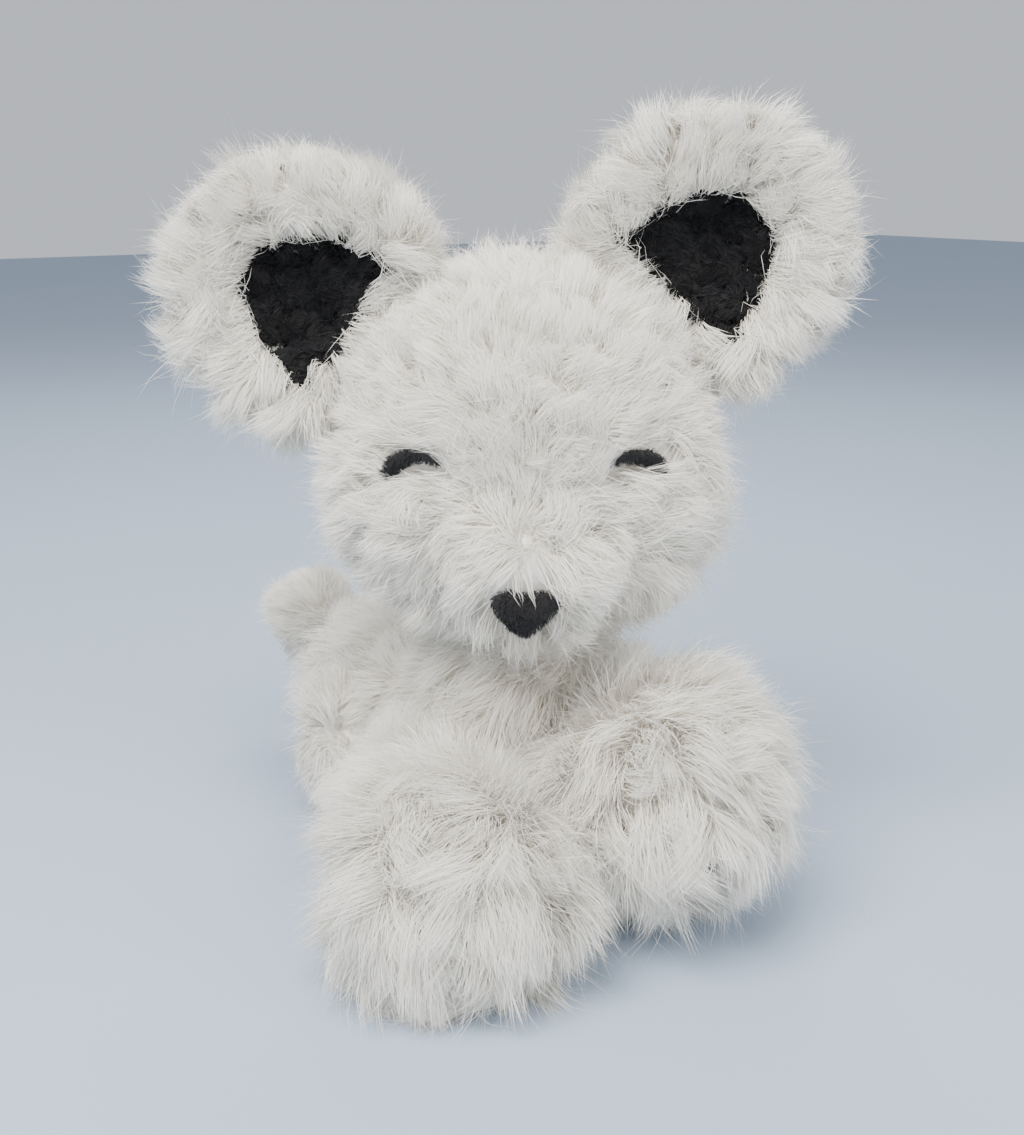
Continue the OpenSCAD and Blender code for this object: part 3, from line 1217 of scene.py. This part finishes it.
@dataclass
class Leg:
    """One leg with its paw and the pad on its sole."""

    frame: dict
    wardrobe: Wardrobe
    side: str
    paw_radius: float
    coat: Coat
    whorl: tuple[float, float, float] = (0.0, 0.3, 0.5)
    trim: tuple[float, float, float] = (0.0, 0.0, 0.0)
    padding: Padding = field(default_factory=lambda: Padding(voxel=3 * MM))
    seed: int = 61

    def middle_of_toe(self, cover: Any) -> Vector:
        """Finds the middle of the paw.

        Args:
            cover: the leg's padded cover.

        Returns:
            The middle of the cover's foremost part.
        """
        p = points_of(cover)
        front = p[:, 1].min()
        paw = p[p[:, 1] < front + self.paw_radius]
        low, high = paw.min(axis=0), paw.max(axis=0)
        return Vector(((low[0] + high[0]) / 2, front + self.paw_radius, (low[2] + high[2]) / 2))

    def build(self) -> None:
        """Makes the cover, its pile and the pad."""
        body = self.side + "_leg"
        cover_node = self.side + "_leg_cover"
        stuffing = self.side + "_leg_stuffing"
        cover = plump(copy_nodes(self.frame, body + "_padding", [stuffing]), self.padding)
        settle(cover, body, self.wardrobe.backing)
        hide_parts(cover_node, stuffing)
        toe = self.middle_of_toe(cover)
        whorl = toe + self.paw_radius * Vector(self.whorl)
        hip = Vector(next(j for j in self.frame["joints"] if j["child"] == body)["pos_m"])
        along = (toe - hip).normalized()
        comb = Comb(whorls=((tuple(whorl), 1.0),), sweep=tuple(0.3 * along + Vector((0, 0, -0.2))))
        pad_low, pad_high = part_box(self.side + "_paw_pad")
        pad = np.array((pad_low + pad_high) / 2)
        out = unit(pad - np.array(toe))
        trimmed = unit(out + np.array(self.trim))

        def clear(paths: Array) -> Array:
            """Fibres that would hide the pad."""
            spots = paths[:, 1:] - pad
            hidden = np.zeros(len(paths), bool)
            for way in (out, trimmed):
                rise = spots @ way
                reach = np.linalg.norm(spots - rise[..., None] * way, axis=2)
                hidden |= ((reach < 6 * MM) & (rise > -2 * MM)).any(1)
            return hidden

        settle(
            Pile(cover, self.seed, self.wardrobe.room).grow(
                body + "_pile", self.coat, comb, self.wardrobe.white_pile, None, clear
            ),
            body,
        )
        node = self.side + "_paw_pad"
        patch = copy_nodes(self.frame, self.side + "_pad_plush", [node])
        settle(patch, body, self.wardrobe.felt)
        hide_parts(node)
        fuzz = Coat(2.2 * MM, 1200, lift=0.6, tuft=2 * MM, width=0.2 * MM, lean=1.2)
        settle(
            Pile(patch, self.seed + 20, self.wardrobe.room).grow(
                self.side + "_pad_pile", fuzz, Comb(sweep=tuple(along)), self.wardrobe.black_pile
            ),
            body,
        )


@dataclass
class Tail:
    """The short round tail."""

    frame: dict
    wardrobe: Wardrobe
    padding: Padding = field(
        default_factory=lambda: Padding(voxel=2.5 * MM, swell=1.5 * MM, cap=2.5 * MM)
    )
    coat: Coat = field(
        default_factory=lambda: Coat(11 * MM, 12000, lift=0.55, tuft=5.5 * MM)
    )

    def build(self) -> None:
        """Makes the cover and its pile."""
        cover = plump(copy_nodes(self.frame, "tail_padding", ["tail_stuffing"]), self.padding)
        settle(cover, "tail", self.wardrobe.backing)
        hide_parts("tail_cover", "tail_stuffing")
        root = Vector(next(j for j in self.frame["joints"] if j["child"] == "tail")["pos_m"])
        comb = Comb(whorls=((tuple(root), 1.0),))
        settle(
            Pile(cover, 71, self.wardrobe.room).grow(
                "tail_pile", self.coat, comb, self.wardrobe.white_pile
            ),
            "tail",
        )


@dataclass
class Joints:
    """The discs, washers, rings and stitches inside the covers."""

    frame: dict
    wardrobe: Wardrobe

    def dress(self) -> None:
        """Gives each inner piece its finish."""
        for name, piece in self.frame["nodes"].items():
            if name.endswith(("disc", "washer", "washers", "ring")):
                material = self.wardrobe.plastic
            elif name == "closing_stitches":
                material = self.wardrobe.thread
            else:
                continue
            piece.data.materials.clear()
            piece.data.materials.append(material)
            LOG.info("%s dressed", name)


@dataclass
class Studio:
    """The floor, the lights and the camera."""

    head: Head
    distance: float = 0.400
    azimuth: float = math.radians(-33)
    height: float = math.radians(10)
    drop: float = math.radians(4.8)
    aside: float = math.radians(0.49)
    lens: float = 48.2
    pale: tuple[float, float, float] = (0.34, 0.42, 0.54)
    warmth: tuple[float, float, float] = (1.0, 0.97, 0.92)

    def build(self) -> None:
        """Makes the floor, the lights and the camera."""
        self.build_floor()
        self.build_lights()
        self.build_camera()

    def build_floor(self) -> None:
        """Makes the pale floor, one wide flat plane marked as backdrop, and the studio's sky."""
        bpy.ops.object.select_all(action="DESELECT")
        bpy.ops.mesh.primitive_plane_add(size=6.0)
        floor = bpy.context.active_object
        floor.name = "studio_floor"
        material, tree, shader = new_material("studio floor")
        noise = add_noise(tree, 6.0, 2.0)
        stops = tuple((at, tuple(k * c for c in self.pale)) for at, k in ((0.3, 0.98), (0.7, 1.0)))
        colour = add_ramp(tree, noise.outputs["Fac"], stops)
        tree.links.new(colour, shader.inputs["Base Color"])
        shader.inputs["Roughness"].default_value = 0.9
        floor.data.materials.append(material)
        floor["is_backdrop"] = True
        world = bpy.data.worlds.new("studio")
        world.use_nodes = True
        sky = world.node_tree.nodes["Background"]
        sky.inputs["Color"].default_value = (0.78, 0.82, 0.88, 1)
        sky.inputs["Strength"].default_value = 0.8
        bpy.context.scene.world = world

    def build_lights(self) -> None:
        """Makes three soft lights around the dog."""
        aim = self.head.centre
        for name, azimuth, height, reach, size, power in (
            ("key light", -60, 52, 0.9, 0.7, 22.0),
            ("fill light", 10, 22, 1.1, 0.9, 9.0),
            ("back light", 150, 45, 1.0, 0.6, 6.0),
        ):
            a, e = math.radians(azimuth), math.radians(height)
            way = Vector((math.sin(a) * math.cos(e), -math.cos(a) * math.cos(e), math.sin(e)))
            light = bpy.data.lights.new(name, "AREA")
            light.shape = "DISK"
            light.size = size
            light.energy = power
            light.color = self.warmth
            lamp = bpy.data.objects.new(name, light)
            lamp.location = aim + reach * way
            lamp.rotation_euler = way.to_track_quat("Z", "Y").to_euler()
            bpy.context.scene.collection.objects.link(lamp)

    def build_camera(self) -> None:
        """Makes the camera, level, in front of the face."""
        a, e = self.azimuth, self.height
        way = Vector((math.sin(a) * math.cos(e), -math.cos(a) * math.cos(e), math.sin(e)))
        camera = bpy.data.cameras.new("camera")
        camera.lens = self.lens
        camera.sensor_width = 36
        eye = bpy.data.objects.new("camera", camera)
        level = way.to_track_quat("Z", "Y").to_matrix()
        turn = Matrix.Rotation(-self.drop, 3, "X") @ Matrix.Rotation(self.aside, 3, "Y")
        eye.matrix_world = Matrix.Translation(
            self.head.centre + self.distance * way
        ) @ (level @ turn).to_4x4()
        bpy.context.scene.collection.objects.link(eye)
        bpy.context.scene.camera = eye


FRONT_COAT = Coat(17 * MM, 38500, lift=0.66, tuft=5.2 * MM, gather=0.66, droop=0.08, curl=0.18)
PAW_RADIUS = 24 * MM
FOOT_RADIUS = 10.5 * MM
HIND_COAT = Coat(11 * MM, 12000, lift=0.4, tuft=6 * MM, droop=0.1)


def main() -> None:
    """Builds the dog around its frame."""
    logging.basicConfig(level=logging.INFO, format="%(message)s")
    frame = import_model()
    wardrobe = Wardrobe()
    head = Head(frame, wardrobe)
    Studio(head).build()
    head.build()
    Body(frame, wardrobe).build()
    Ear(frame, wardrobe, "left_ear").build()
    Ear(frame, wardrobe, "right_ear").build()
    for side, whorl, trim, seed in (
        ("front_left", (-0.3, 0.2, 0.6), (-0.3, -1.0, 0.35), 61),
        ("front_right", (0.4, 0.0, 0.6), (0.0, 0.0, 0.0), 62),
    ):
        Leg(frame, wardrobe, side, PAW_RADIUS, FRONT_COAT, whorl, trim, seed=seed).build()
    for number, side in enumerate(("hind_left", "hind_right")):
        Leg(
            frame,
            wardrobe,
            side,
            FOOT_RADIUS,
            HIND_COAT,
            (0.0, 1.5, 1.5),
            padding=Padding(voxel=2.5 * MM, swell=1 * MM, cap=2 * MM),
            seed=63 + number,
        ).build()
    Tail(frame, wardrobe).build()
    Joints(frame, wardrobe).dress()


if __name__ == "__main__":
    main()
